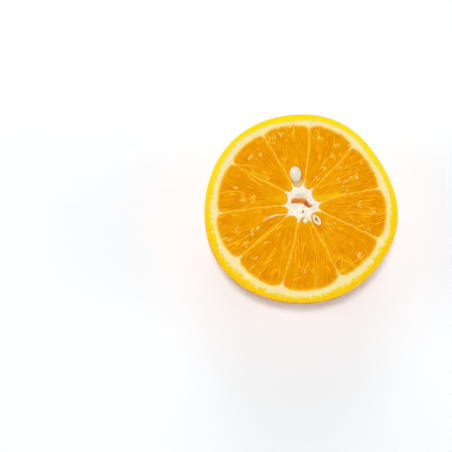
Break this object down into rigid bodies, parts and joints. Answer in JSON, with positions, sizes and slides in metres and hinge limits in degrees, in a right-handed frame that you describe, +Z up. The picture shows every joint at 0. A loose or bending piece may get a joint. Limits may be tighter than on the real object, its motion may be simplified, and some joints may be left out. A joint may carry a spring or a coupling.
{
  "type": "orange half",
  "caption": "Half of a round citrus fruit with its cut face up, showing segments of flesh, pith, peel, a hollow core and seeds; rests on its round side.",
  "frame": {"origin": "under the middle of the half's outline, on the surface it lies on, at the level of the flat spot underneath", "axes": "+Z up, square to the cut face; +X to the right and +Y to the top of the cut face as the picture shows it"},
  "size_m": [0.0762, 0.0756, 0.0395],
  "materials": {
    "flesh": "wet, juicy flesh of the segments",
    "peel": "waxy pitted skin, yellow where it is cut",
    "pith": "soft matt cream pith",
    "membrane": "thin moist skin between segments",
    "seed": "smooth moist seed coat"
  },
  "bodies": {
    "root": {"orange_half": "flesh"}
  },
  "joints": []
}
